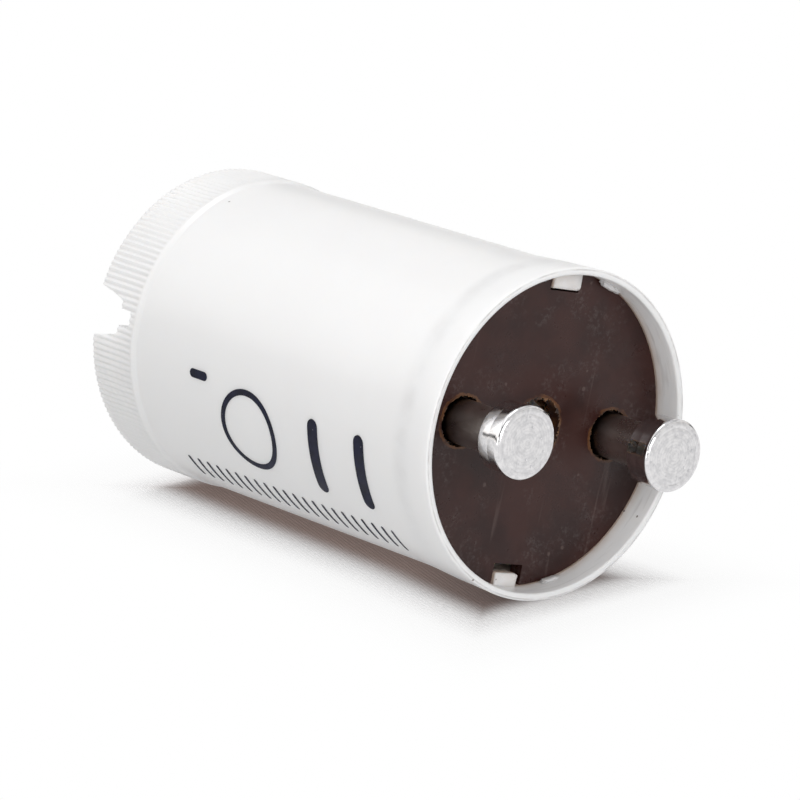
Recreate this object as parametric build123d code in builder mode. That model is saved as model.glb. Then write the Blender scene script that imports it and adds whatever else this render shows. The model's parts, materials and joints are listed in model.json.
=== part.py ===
from build123d import *
import os
from math import sqrt

# Fluorescent lamp starter, in millimetres.
# It stands on the closed end of its canister. Z runs along the canister towards
# the contact pins, X goes through both pins, and the origin is the middle of the
# closed end.

# Canister, one moulded cup
body_length = 35.0
barrel_radius = 10.4
barrel_wall = 0.85
end_wall = 0.9
rim_step = 0.3
rim_wall = 0.5
rim_bevel = 0.12
flare_length = 7.0
crease_depth = 2.3
crease_step = 0.2

# Ridged grip band round the closed end
grip_length = 4.6
grip_step = 0.15
grip_bevel = 0.35
ridge_count = 160
ridge_depth = 0.13

# Slot across the closed end, with a small window at each of its ends
slot_width = 3.5
slot_floor_width = 2.3
slot_depth = 2.8
slot_corner = 0.45
window_width = 1.1
window_height = 1.1
window_reach = 1.3

# Base disc, and the features of the mouth that hold it
recess_depth = 2.05
disc_thickness = 1.0
disc_clearance = 0.05
centre_hole_radius = 2.0
notch_width = 2.4
notch_depth = 1.35
key_depth = 1.0
key_clearance = 0.2
key_rise = 0.25
nub_reach = 0.35
nub_lip = 0.15
nub_height = 0.6
nub_arc = 13.0
nub_turn = 20.0

# Contact pins
pin_pitch = 12.7
pin_height = 4.1
head_radius = 2.35
head_thickness = 2.0
head_bevel = 0.2
head_back_bevel = 0.1
neck_radius = 1.45
pin_hole_radius = 1.65
upset_length = 0.5
upset_clearance = 0.02
collar_radius = 1.95
collar_thickness = 0.7
collar_bevel = 0.2
tail_radius = 1.35
tail_length = 2.2
tail_bore_radius = 0.85
tail_bore_depth = 1.8

# Lead wires and the solder that holds them in the pins' tails
lead_radius = 0.25
lead_spread = 0.36
lead_depth = 1.4
fused_clearance = 0.01
solder_height = 0.9
solder_face_radius = 0.9
solder_depth = 1.0

# Glow tube
part_clearance = 1.2
hump_clearance = 2.0
glass_radius = 3.75
glass_wall = 0.6
tip_radius = 0.8
tip_end_radius = 0.3
tip_length = 1.5
dome_height = 2.6
dome_shoulder = 0.7
shoulder_height = 2.4
pinch_width = 6.2
pinch_thickness = 2.4
pinch_height = 3.6
pinch_clearance = 0.8
tube_lead_rise = 2.5
lead_straight = 1.4
lead_in_spacing = 3.0

# Electrodes inside the glow tube
stem_length = 3.2
electrode_radius = 0.4
electrode_clearance = 1.6
strip_thickness = 0.2
strip_width = 1.6
strip_clearance = 0.6
strip_weld = 1.6
strip_tip_drop = 0.8
contact_gap = 0.3

# Condenser
condenser_width = 10.0
condenser_thickness = 4.0
condenser_corner = 1.6
condenser_length = 12.0
condenser_bevel = 1.1
condenser_lead_spacing = 5.0
condenser_lead_rise = 1.7
condenser_boss_radius = 0.6
condenser_boss_height = 0.6
condenser_lead_depth = 1.8

# Radii and heights that follow from the sizes above
rim_radius = barrel_radius + rim_step
crease_radius = barrel_radius + crease_step
grip_radius = barrel_radius + grip_step
cavity_radius = barrel_radius - barrel_wall
seat_radius = rim_radius - rim_wall
disc_radius = seat_radius - disc_clearance
hump_top_z = slot_depth + end_wall
disc_face_z = body_length - recess_depth
disc_seat_z = disc_face_z - disc_thickness
pin_x = pin_pitch / 2
pin_top_z = body_length + pin_height
neck_top_z = pin_top_z - head_thickness
collar_z = disc_seat_z - collar_thickness
tail_z = collar_z - tail_length
solder_z = tail_z - solder_height
lead_top_z = tail_z + lead_depth

# Places of the glow tube and the condenser, which lie side by side in the cavity
tube_y = -(cavity_radius - part_clearance - glass_radius)
tube_bottom_z = hump_top_z + hump_clearance
dome_z = tube_bottom_z + tip_length
lead_turn_z = solder_z - lead_straight
tube_lead_z = lead_turn_z - tube_lead_rise
pinch_top_z = tube_lead_z - pinch_clearance
pinch_z = pinch_top_z - pinch_height
stem_end_z = pinch_z - stem_length
lead_in_x = lead_in_spacing / 2
condenser_corner_x = condenser_width / 2 - condenser_corner
condenser_corner_reach = cavity_radius - part_clearance - condenser_corner
condenser_corner_y = sqrt(condenser_corner_reach**2 - condenser_corner_x**2)
condenser_y = condenser_corner_y + condenser_corner - condenser_thickness / 2
condenser_z = hump_top_z + hump_clearance
condenser_top_z = condenser_z + condenser_length
condenser_lead_z = condenser_top_z + condenser_lead_rise
condenser_lead_x = condenser_lead_spacing / 2
sides = {"left": -1, "right": 1}

os.makedirs("parts", exist_ok=True)


def slot_section(grow):
    """Section of the slot across the closed end, grown outwards by a wall."""
    with BuildSketch(Plane.YZ) as section:
        Polygon(
            (-slot_width / 2, -slot_depth),
            (slot_width / 2, -slot_depth),
            (slot_width / 2, 0),
            (slot_floor_width / 2, slot_depth),
            (-slot_floor_width / 2, slot_depth),
            (-slot_width / 2, 0),
        )
        fillet(section.vertices().group_by(Axis.Y)[-1], slot_corner)
        if grow > 0:
            offset(amount=grow)
    return section.sketch


def lead_wire(points):
    """Round wire along straight runs, mitred where it turns."""
    with BuildPart() as wire:
        with BuildLine() as route:
            Polyline(*points)
        with BuildSketch(Plane(origin=route.line @ 0, z_dir=route.line % 0)):
            Circle(lead_radius)
        sweep(path=route.line, transition=Transition.RIGHT)
    return wire.part


# Cavity of the canister: a round core, less the hump that backs the slot
with BuildPart() as cavity:
    with BuildSketch(Plane.XY.offset(end_wall)):
        Circle(cavity_radius)
    extrude(amount=disc_seat_z - end_wall)
    extrude(slot_section(end_wall), amount=barrel_radius, both=True, mode=Mode.SUBTRACT)

# Retaining nub on the inside of the rim, which the disc snaps under
with BuildPart() as nub:
    with BuildSketch(Plane.XZ):
        Polygon(
            (seat_radius + rim_wall / 2, disc_face_z),
            (seat_radius - nub_reach, disc_face_z),
            (seat_radius - nub_reach, disc_face_z + nub_lip),
            (seat_radius, disc_face_z + nub_height),
            (seat_radius + rim_wall / 2, disc_face_z + nub_height),
        )
    revolve(revolution_arc=nub_arc)

# Ridges of the grip band, a toothed ring above the bevelled foot of the canister
ridge_outline = [
    Vector(grip_radius - ridge_depth * (corner % 2), 0).rotate(Axis.Z, 180 * corner / ridge_count)
    for corner in range(2 * ridge_count)
]
with BuildPart() as ridges:
    with BuildSketch(Plane.XY.offset(grip_bevel)):
        Polygon(*ridge_outline)
        Circle(cavity_radius + barrel_wall / 3, mode=Mode.SUBTRACT)
    extrude(amount=grip_length - grip_bevel)

# What is cut from the closed end: the slot, and the window at each of its ends
with BuildPart() as end_cuts:
    extrude(slot_section(0), amount=2 * grip_radius, both=True)
    with BuildSketch(Plane.XY.offset(slot_depth)):
        with PolarLocations(barrel_radius - window_reach, 2):
            Rectangle(2 * window_reach, window_width, align=(Align.MIN, Align.CENTER))
    extrude(amount=window_height)

# Canister: barrel and flared mouth, hollowed and keyed, with the ridges and cuts
with BuildPart() as canister:
    with BuildSketch(Plane.XZ):
        Polygon(
            (0, 0),
            (barrel_radius - grip_bevel, 0),
            (barrel_radius, grip_bevel),
            (cavity_radius + barrel_wall / 2, grip_bevel),
            (cavity_radius + barrel_wall / 2, grip_length),
            (barrel_radius, grip_length),
            (barrel_radius, body_length - flare_length),
            (crease_radius, body_length - crease_depth),
            (rim_radius, body_length),
            (0, body_length),
        )
    revolve()
    add(cavity.part, mode=Mode.SUBTRACT)
    with BuildSketch(Plane.XY.offset(disc_seat_z)):
        Circle(seat_radius)
    extrude(amount=body_length - disc_seat_z, mode=Mode.SUBTRACT)
    chamfer(canister.edges().group_by(Axis.Z)[-1], rim_bevel)

    # Keys that fill the disc's notches, and the nubs beside them
    with BuildSketch(Plane.XY.offset(disc_seat_z)):
        with PolarLocations(seat_radius - key_depth, 2, start_angle=90):
            Rectangle(
                key_depth + rim_wall / 2,
                notch_width - 2 * key_clearance,
                align=(Align.MIN, Align.CENTER),
            )
    extrude(amount=disc_thickness + key_rise)
    for middle in (90, 270):
        for turn in (-nub_turn, nub_turn):
            add(nub.part, rotation=(0, 0, middle + turn - nub_arc / 2))
    add(ridges.part)
    add(end_cuts.part, mode=Mode.SUBTRACT)
canister.part.label = "canister"
export_step(canister.part, "parts/canister.step")

# Base disc, a flat stamping
with BuildPart() as base_disc:
    with BuildSketch(Plane.XY.offset(disc_seat_z)):
        Circle(disc_radius)
        Circle(centre_hole_radius, mode=Mode.SUBTRACT)
        with GridLocations(pin_pitch, 0, 2, 1):
            Circle(pin_hole_radius, mode=Mode.SUBTRACT)
        with PolarLocations(disc_radius - notch_depth, 2, start_angle=90):
            Rectangle(
                2 * notch_depth,
                notch_width,
                align=(Align.MIN, Align.CENTER),
                mode=Mode.SUBTRACT,
            )
    extrude(amount=disc_thickness)
base_disc.part.label = "base_disc"
export_step(base_disc.part, "parts/base_disc.step")

# Contact pins: head and neck outside, upset in the disc's hole, swaged to a
# collar inside, with a bored tail that takes the two lead wires
for name, side in sides.items():
    pin_plane = Plane(origin=(side * pin_x, 0, 0), x_dir=(1, 0, 0), z_dir=(0, -1, 0))
    pin_axis = Axis((side * pin_x, 0, 0), (0, 0, 1))
    with BuildPart() as contact_pin:
        with BuildSketch(pin_plane) as section:
            upset_radius = pin_hole_radius - upset_clearance
            Polygon(
                (0, tail_z + tail_bore_depth),
                (tail_bore_radius, tail_z + tail_bore_depth),
                (tail_bore_radius, tail_z),
                (tail_radius, tail_z),
                (tail_radius, collar_z),
                (collar_radius, collar_z),
                (collar_radius, disc_seat_z),
                (upset_radius, disc_seat_z),
                (upset_radius, disc_seat_z + upset_length),
                (neck_radius, disc_seat_z + upset_length),
                (neck_radius, neck_top_z),
                (head_radius, neck_top_z),
                (head_radius, pin_top_z),
                (0, pin_top_z),
            )
            head_corner = section.vertices().sort_by_distance((head_radius, pin_top_z))[0]
            chamfer(head_corner, head_bevel)
            back_corner = section.vertices().sort_by_distance((head_radius, neck_top_z))[0]
            chamfer(back_corner, head_back_bevel)
            collar_corner = section.vertices().sort_by_distance((collar_radius, collar_z))[0]
            chamfer(collar_corner, collar_bevel)
        revolve(axis=pin_axis)
    contact_pin.part.label = f"{name}_contact_pin"
    export_step(contact_pin.part, f"parts/{name}_contact_pin.step")

    # Solder that fills the tail's bore round the wires and domes over its end
    with BuildPart() as solder_joint:
        with BuildSketch(pin_plane):
            plug_radius = tail_bore_radius - fused_clearance
            Polygon(
                (0, solder_z),
                (solder_face_radius, solder_z),
                (tail_radius, tail_z),
                (plug_radius, tail_z),
                (plug_radius, tail_z + solder_depth),
                (0, tail_z + solder_depth),
            )
        revolve(axis=pin_axis)
        with BuildSketch(Plane.XY.offset(solder_z)):
            with Locations((side * pin_x, 0)):
                with GridLocations(0, 2 * lead_spread, 1, 2):
                    Circle(lead_radius + fused_clearance)
        extrude(amount=solder_height + solder_depth, mode=Mode.SUBTRACT)
    solder_joint.part.label = f"{name}_solder_joint"
    export_step(solder_joint.part, f"parts/{name}_solder_joint.step")

    # Lead from inside the glow tube, through its pinch, to the pin
    lead_in = lead_wire(
        [
            (side * lead_in_x, tube_y, stem_end_z),
            (side * lead_in_x, tube_y, tube_lead_z),
            (side * pin_x, -lead_spread, lead_turn_z),
            (side * pin_x, -lead_spread, lead_top_z),
        ]
    )
    lead_in.label = f"{name}_lead_in_wire"
    export_step(lead_in, f"parts/{name}_lead_in_wire.step")

    # Lead from the condenser to the same pin
    condenser_lead = lead_wire(
        [
            (side * condenser_lead_x, condenser_y, condenser_top_z - condenser_lead_depth),
            (side * condenser_lead_x, condenser_y, condenser_lead_z),
            (side * pin_x, lead_spread, lead_turn_z),
            (side * pin_x, lead_spread, lead_top_z),
        ]
    )
    condenser_lead.label = f"{name}_condenser_lead"
    export_step(condenser_lead, f"parts/{name}_condenser_lead.step")

# Glow tube: a blown envelope with an exhaust tip below and a flat pinch above,
# which is fused round the two leads
tube_plane = Plane.XZ.offset(-tube_y)
tube_axis = Axis((0, tube_y, 0), (0, 0, 1))
shoulder_z = pinch_z - shoulder_height
with BuildPart() as glow_tube_glass:
    with BuildSketch(tube_plane):
        with BuildLine():
            Polyline(
                (0, tube_bottom_z),
                (tip_end_radius, tube_bottom_z),
                (tip_radius, dome_z),
                (dome_shoulder * glass_radius, dome_z + (1 - dome_shoulder) * dome_height),
                (glass_radius, dome_z + dome_height),
                (glass_radius, shoulder_z),
                (pinch_thickness / 2, pinch_z),
                (0, pinch_z),
                close=True,
            )
        make_face()
    revolve(axis=tube_axis)
    with BuildSketch(Plane.XY.offset(shoulder_z)):
        with Locations((0, tube_y)):
            Rectangle(pinch_width, pinch_thickness)
    extrude(amount=pinch_top_z - shoulder_z)
    with BuildSketch(tube_plane):
        bore_radius = glass_radius - glass_wall
        with BuildLine():
            Polyline(
                (0, dome_z + glass_wall),
                (tip_radius, dome_z + glass_wall),
                (bore_radius, dome_z + dome_height),
                (bore_radius, shoulder_z),
                (pinch_thickness / 2, pinch_z - glass_wall),
                (0, pinch_z - glass_wall),
                close=True,
            )
        make_face()
    revolve(axis=tube_axis, mode=Mode.SUBTRACT)
    with BuildSketch(Plane.XY.offset(shoulder_z)):
        with Locations((0, tube_y)):
            with GridLocations(lead_in_spacing, 0, 2, 1):
                Circle(lead_radius + fused_clearance)
    extrude(amount=pinch_top_z - shoulder_z, mode=Mode.SUBTRACT)
glow_tube_glass.part.label = "glow_tube_glass"
export_step(glow_tube_glass.part, "parts/glow_tube_glass.step")

# Fixed electrode, a rod butted to the end of the left lead
with BuildPart() as fixed_electrode:
    with BuildSketch(Plane.XY.offset(dome_z + glass_wall + electrode_clearance)):
        with Locations((-lead_in_x, tube_y)):
            Circle(electrode_radius)
    extrude(amount=stem_end_z - dome_z - glass_wall - electrode_clearance)
fixed_electrode.part.label = "fixed_electrode"
export_step(fixed_electrode.part, "parts/fixed_electrode.step")

# Bimetal strip: welded along the right lead, it turns back beside the electrode
with BuildPart() as bimetal_strip:
    with BuildSketch(tube_plane):
        weld_x = lead_in_x - lead_radius - strip_thickness / 2
        tip_x = -lead_in_x + electrode_radius + contact_gap + strip_thickness / 2
        strip_top_z = stem_end_z + strip_weld
        bend_radius = (weld_x - tip_x) / 2
        bend_z = dome_z + glass_wall + strip_clearance + strip_thickness / 2 + bend_radius
        with BuildLine():
            Line((weld_x, strip_top_z), (weld_x, bend_z))
            RadiusArc((weld_x, bend_z), (tip_x, bend_z), bend_radius)
            Line((tip_x, bend_z), (tip_x, stem_end_z - strip_tip_drop))
        trace(line_width=strip_thickness)
    extrude(amount=strip_width / 2, both=True)
bimetal_strip.part.label = "bimetal_strip"
export_step(bimetal_strip.part, "parts/bimetal_strip.step")

# Condenser: a flat dipped roll whose coating rises in a boss round each lead
with BuildPart() as condenser:
    with BuildSketch(Plane.XY.offset(condenser_z)):
        with Locations((0, condenser_y)):
            RectangleRounded(condenser_width, condenser_thickness, condenser_corner)
    extrude(amount=condenser_length)
    ends = condenser.faces().filter_by(Axis.Z).edges()
    chamfer(ends, condenser_bevel)
    with BuildSketch(Plane.XY.offset(condenser_top_z)):
        with Locations((0, condenser_y)):
            with GridLocations(condenser_lead_spacing, 0, 2, 1):
                Circle(condenser_boss_radius)
    extrude(amount=condenser_boss_height)
    with BuildSketch(Plane.XY.offset(condenser_top_z - condenser_lead_depth)):
        with Locations((0, condenser_y)):
            with GridLocations(condenser_lead_spacing, 0, 2, 1):
                Circle(lead_radius + fused_clearance)
    extrude(amount=condenser_lead_depth + condenser_boss_height, mode=Mode.SUBTRACT)
condenser.part.label = "condenser"
export_step(condenser.part, "parts/condenser.step")
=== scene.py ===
import json
import math

import bpy
import numpy as np
from mathutils import Matrix, Vector


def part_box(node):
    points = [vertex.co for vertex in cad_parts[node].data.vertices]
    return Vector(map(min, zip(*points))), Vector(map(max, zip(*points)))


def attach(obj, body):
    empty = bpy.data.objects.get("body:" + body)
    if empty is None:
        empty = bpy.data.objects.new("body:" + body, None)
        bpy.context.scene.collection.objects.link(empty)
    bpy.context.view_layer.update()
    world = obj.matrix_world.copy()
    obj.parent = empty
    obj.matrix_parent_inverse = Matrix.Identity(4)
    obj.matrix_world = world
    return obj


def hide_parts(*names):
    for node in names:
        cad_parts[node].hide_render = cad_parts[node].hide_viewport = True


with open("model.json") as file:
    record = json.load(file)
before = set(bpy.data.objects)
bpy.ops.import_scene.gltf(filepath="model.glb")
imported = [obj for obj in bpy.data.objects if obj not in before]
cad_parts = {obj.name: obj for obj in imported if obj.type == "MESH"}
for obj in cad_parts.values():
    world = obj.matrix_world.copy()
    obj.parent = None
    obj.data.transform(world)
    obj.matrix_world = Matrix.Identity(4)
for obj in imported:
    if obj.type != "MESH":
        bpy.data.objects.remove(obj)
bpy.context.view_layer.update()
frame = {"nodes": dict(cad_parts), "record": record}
print("frame loaded:", len(frame["nodes"]), "nodes")

mm = 0.001
tau = 2 * math.pi

# Heights and radii read from the frame, in millimetres
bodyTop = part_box("canister")[1].z / mm
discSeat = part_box("base_disc")[0].z / mm
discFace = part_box("base_disc")[1].z / mm
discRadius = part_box("base_disc")[1].x / mm
pinLow, pinHigh = [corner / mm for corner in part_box("right_contact_pin")]
pinX = (pinLow.x + pinHigh.x) / 2
headRadius = (pinHigh.x - pinLow.x) / 2


def addObject(name, data):
    made = bpy.data.objects.new(name, data)
    bpy.context.scene.collection.objects.link(made)
    return made


# A mesh object from points in millimetres
def addMesh(name, points, faces):
    mesh = bpy.data.meshes.new(name)
    mesh.from_pydata((np.asarray(points, float) * mm).tolist(), [], faces)
    return addObject(name, mesh)


# A smooth-shaded piece that rides on the body, with edges past an angle in degrees kept sharp
def addPiece(name, points, quads, triangles, material, slot, sharpAngle):
    piece = addMesh(name, points, np.asarray(quads).tolist() + np.asarray(triangles).tolist())
    piece.data.shade_smooth()
    piece.data.set_sharp_from_angle(angle=math.radians(sharpAngle))
    piece.data.materials.append(material)
    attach(piece, "root")
    return piece


# Quads of a grid, where the point at (row, column) is number row * columns + column
def gridQuads(rows, columns, wrapRows=False, wrapColumns=False):
    row = np.arange(rows if wrapRows else rows - 1)[:, None]
    column = np.arange(columns if wrapColumns else columns - 1)
    nextRow, nextColumn = (row + 1) % rows, (column + 1) % columns
    corners = [(row, column), (row, nextColumn), (nextRow, nextColumn), (nextRow, column)]
    return np.stack([down * columns + over for down, over in corners], axis=-1).reshape(-1, 4)


# A grid that wraps in its columns and is closed by a point at each end: its quads, then its two fans
def polarFaces(rows, columns):
    here = np.arange(columns)
    after = (here + 1) % columns
    pole = rows * columns
    lastRow = pole - columns
    fans = np.concatenate([
        np.stack([np.full(columns, pole), after, here], axis=-1),
        np.stack([np.full(columns, pole + 1), lastRow + here, lastRow + after], axis=-1),
    ])
    return gridQuads(rows, columns, wrapColumns=True), fans


def unit(vector):
    return vector / np.linalg.norm(vector)


# A polyline with its corners rounded: each corner is (x, y) or (x, y, radius), and one with a radius
# becomes an arc that is tangent to both of its runs
def roundedPath(corners, steps=6, closed=False):
    spots = np.array([corner[:2] for corner in corners], float)
    radii = [corner[2] if len(corner) > 2 else 0 for corner in corners]
    path = []
    for place, (spot, radius) in enumerate(zip(spots, radii)):
        atEnd = not closed and place in (0, len(spots) - 1)
        if atEnd or radius <= 0:
            path.append(spot[None])
            continue
        back = unit(spots[place - 1] - spot)
        ahead = unit(spots[(place + 1) % len(spots)] - spot)
        half = math.acos(np.clip(back @ ahead, -1, 1)) / 2
        middle = unit(back + ahead)
        side = unit(ahead - back)
        centre = spot + middle * radius / math.sin(half)
        turn = np.linspace(-1, 1, steps + 1)[:, None] * (math.pi / 2 - half)
        path.append(centre - radius * (np.cos(turn) * middle - np.sin(turn) * side))
    return np.concatenate(path)


# Lathe: point(row, angle) = (centre + r cos a, r sin a, z), where r is the profile's radius plus
# swell(row, angle), and the profile's two ends are points on the axis
def lathe(profile, columns, swell=0.0, centreX=0.0):
    angle = np.arange(columns) * tau / columns
    inner = profile[1:-1]
    radius = inner[:, :1] + swell
    grid = np.stack(np.broadcast_arrays(
        centreX + radius * np.cos(angle), radius * np.sin(angle), inner[:, 1:],
    ), axis=-1)
    poles = [[centreX, 0, profile[0, 1]], [centreX, 0, profile[-1, 1]]]
    return np.concatenate([grid.reshape(-1, 3), poles]), *polarFaces(len(inner), columns)


# Smooth random wave round a circle: a sum of cosines with seeded phases, about -1 to 1
def roughWave(angle, seed, lowest=3, highest=17):
    rng = np.random.default_rng(seed)
    turns = np.arange(lowest, highest + 1)
    phase = rng.uniform(0, tau, len(turns))
    size = rng.uniform(0.4, 1.0, len(turns)) / np.sqrt(turns)
    waves = (size * np.cos(np.asarray(angle)[..., None] * turns + phase)).sum(-1)
    return waves / np.abs(size).sum() * 2


# Prism along X: the closed section (y, z), run anticlockwise, is carried from one x to the other and capped
def prism(name, section, fromX, toX):
    count = len(section)
    ends = [np.column_stack([np.full(count, x), section]) for x in (fromX, toX)]
    caps = [list(range(count))[::-1], list(range(count, 2 * count))]
    return addMesh(name, np.concatenate(ends), gridQuads(2, count, wrapColumns=True).tolist() + caps)


# Joins or cuts a piece with other solids, and keeps the result as its mesh
def shapeWith(piece, cutters, operation):
    for cutter in cutters:
        change = piece.modifiers.new(operation, "BOOLEAN")
        change.operation = operation
        change.solver = "EXACT"
        change.object = cutter
    view = bpy.context.evaluated_depsgraph_get()
    made = bpy.data.meshes.new_from_object(piece.evaluated_get(view))
    piece.modifiers.clear()
    piece.data = made
    for cutter in cutters:
        bpy.data.objects.remove(cutter)


def newSurface(name):
    material = bpy.data.materials.new(name)
    material.use_nodes = True
    return material, material.node_tree, material.node_tree.nodes["Principled BSDF"]


# Feeds a node's inputs, by name or number, with sockets, numbers, vectors or colours
def feed(node, inputs):
    for place, value in inputs.items():
        target = node.inputs[place]
        if isinstance(value, bpy.types.NodeSocket):
            node.id_data.links.new(value, target)
        else:
            target.default_value = (*value, 1) if target.type == "RGBA" else value


def addNode(tree, kind, inputs=None, **settings):
    node = tree.nodes.new(kind)
    for key, value in settings.items():
        setattr(node, key, value)
    feed(node, inputs or {})
    return node


# Adds a node to the tree of a socket that it is fed, and returns its outputs. The tools below work this way
def toolNode(kind, inputs, **settings):
    tree = next(value.id_data for value in inputs.values() if isinstance(value, bpy.types.NodeSocket))
    return addNode(tree, kind, inputs, **settings).outputs


def mathTool(operation):
    return lambda *values: toolNode("ShaderNodeMath", dict(enumerate(values)), operation=operation)[0]


add = mathTool("ADD")
subtract = mathTool("SUBTRACT")
multiply = mathTool("MULTIPLY")
multiplyAdd = mathTool("MULTIPLY_ADD")
larger = mathTool("MAXIMUM")
less = mathTool("LESS_THAN")
absolute = mathTool("ABSOLUTE")
root = mathTool("SQRT")
sine = mathTool("SINE")


# Distance from an axis, by the offsets from it along two directions
def distanceNode(x, y):
    return root(add(multiply(x, x), multiply(y, y)))


# How far a place lies along a direction
def alongNode(where, direction):
    return toolNode("ShaderNodeVectorMath", {0: where, 1: direction}, operation="DOT_PRODUCT")["Value"]


def splitVector(vector):
    return toolNode("ShaderNodeSeparateXYZ", {0: vector})


# Object coordinates, which can be stretched along each axis and turned about Z
def objectVector(tree, stretch=None, turn=0.0):
    where = addNode(tree, "ShaderNodeTexCoord").outputs["Object"]
    if stretch is None:
        return where
    return toolNode("ShaderNodeMapping", {"Vector": where, "Scale": stretch, "Rotation": (0, 0, turn)})[0]


# Carries a value from low..high to least..most, held at both ends
def rangeNode(value, low, high, least=0.0, most=1.0, kind="SMOOTHSTEP"):
    inputs = {"Value": value, "From Min": low, "From Max": high, "To Min": least, "To Max": most}
    return toolNode("ShaderNodeMapRange", inputs, interpolation_type=kind)["Result"]


# Mask that goes from least to most over a reach, (from, to) in millimetres past a base
def rampMask(value, base, reach, least=0.0, most=1.0):
    return rangeNode(value, (base + reach[0]) * mm, (base + reach[1]) * mm, least, most)


def noiseNode(vector, scale, detail=3.0, roughness=0.55):
    inputs = {"Vector": vector, "Scale": scale, "Detail": detail, "Roughness": roughness}
    return toolNode("ShaderNodeTexNoise", inputs)["Fac"]


# Cloudy mask: noise over the object, carried from low..high to least..most
def cloudMask(tree, scale, low, high, least=0.0, most=1.0, stretch=None, turn=0.0, **grain):
    cloud = noiseNode(objectVector(tree, stretch, turn), scale, **grain)
    return rangeNode(cloud, low, high, least, most)


def mixColour(mask, first, second):
    return toolNode("ShaderNodeMix", {0: mask, 6: first, 7: second}, data_type="RGBA")[2]


def mixShader(mask, first, second):
    return toolNode("ShaderNodeMixShader", {0: mask, 1: first, 2: second})[0]


# Joins a height to a surface as a bump of so many millimetres
def addBump(surface, height, distance, strength=1.0):
    inputs = {"Height": height, "Distance": distance * mm, "Strength": strength}
    feed(surface, {"Normal": toolNode("ShaderNodeBump", inputs)[0]})


def dress(surface, colour, gloss, height, bump):
    feed(surface, {"Base Color": colour, "Roughness": gloss})
    if bump:
        addBump(surface, height, bump)


# An empty shader group, the sockets that it is given and the node that takes its results
def newGroup(name, inputs, outputs):
    group = bpy.data.node_groups.new(name, "ShaderNodeTree")
    for direction, sockets in (("INPUT", inputs), ("OUTPUT", outputs)):
        for label, kind in sockets.items():
            group.interface.new_socket(name=label, in_out=direction, socket_type="NodeSocket" + kind)
    return group, addNode(group, "NodeGroupInput").outputs, addNode(group, "NodeGroupOutput")


def useGroup(group, **inputs):
    return toolNode("ShaderNodeGroup", inputs, node_tree=group)


# Values of the shader groups that are the same in every material
groupLook = {
    "toneDetail": 4.0,
    "toneRange": (0.35, 0.68),
    "grain": {"detail": 5.0, "roughness": 0.6},
    "grainShare": 0.4,  # of the gloss; the rest follows slower patches
    "patchScale": 0.15,
    "patchDetail": 2.0,
    "glossRange": (0.35, 0.65),
    "wobbleScale": 4000.0,
    "wobble": 0.12,
    "speckCore": 0.6,
}


# Slow change of tone over a surface, between two colours
def makeToneGroup():
    inputs = {"Vector": "Vector", "Scale": "Float", "Light": "Color", "Dark": "Color"}
    group, given, result = newGroup("cloudyTone", inputs, {"Color": "Color"})
    cloud = noiseNode(given["Vector"], given["Scale"], groupLook["toneDetail"])
    mask = rangeNode(cloud, *groupLook["toneRange"])
    feed(result, {"Color": mixColour(mask, given["Light"], given["Dark"])})
    return group


# Fine grain that changes gloss and height
def makeGrainGroup():
    inputs = {"Vector": "Vector", "Scale": "Float", "Smooth": "Float", "Coarse": "Float"}
    group, given, result = newGroup("fineGrain", inputs, {"Roughness": "Float", "Height": "Float"})
    grain = noiseNode(given["Vector"], given["Scale"], **groupLook["grain"])
    patchScale = multiply(given["Scale"], groupLook["patchScale"])
    patch = noiseNode(given["Vector"], patchScale, groupLook["patchDetail"])
    share = groupLook["grainShare"]
    blend = add(multiply(grain, share), multiply(patch, 1 - share))
    gloss = rangeNode(blend, *groupLook["glossRange"], given["Smooth"], given["Coarse"])
    feed(result, {"Roughness": gloss, "Height": grain})
    return group


# Small scattered specks: a speck is where a cell's centre is near and the cell's own number is low
def makeSpeckGroup():
    inputs = {"Vector": "Vector", "Scale": "Float", "Size": "Float", "Share": "Float"}
    group, given, result = newGroup("specks", inputs, {"Mask": "Float"})
    where = given["Vector"]
    wobble = toolNode("ShaderNodeTexNoise", {"Vector": where, "Scale": groupLook["wobbleScale"]})["Color"]
    moves = {0: wobble, 1: [groupLook["wobble"] * mm] * 3, 2: where}
    moved = toolNode("ShaderNodeVectorMath", moves, operation="MULTIPLY_ADD")[0]
    cells = toolNode("ShaderNodeTexVoronoi", {"Vector": moved, "Scale": given["Scale"]})
    core = multiply(given["Size"], groupLook["speckCore"])
    near = rangeNode(cells["Distance"], core, given["Size"], 1.0, 0.0)
    chosen = less(toolNode("ShaderNodeSeparateColor", {0: cells["Color"]})[0], given["Share"])
    feed(result, {"Mask": multiply(near, chosen)})
    return group


cloudyTone = makeToneGroup()
fineGrain = makeGrainGroup()
specks = makeSpeckGroup()


# The tone, gloss and height of a look
def toneAndGrain(where, look):
    tone = useGroup(cloudyTone, Vector=where, Scale=look["toneScale"],
                    Light=look["light"], Dark=look["dark"])
    grain = useGroup(fineGrain, Vector=where, Scale=look["grainScale"],
                     Smooth=look["smooth"], Coarse=look["coarse"])
    return tone["Color"], grain["Roughness"], grain["Height"]


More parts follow.
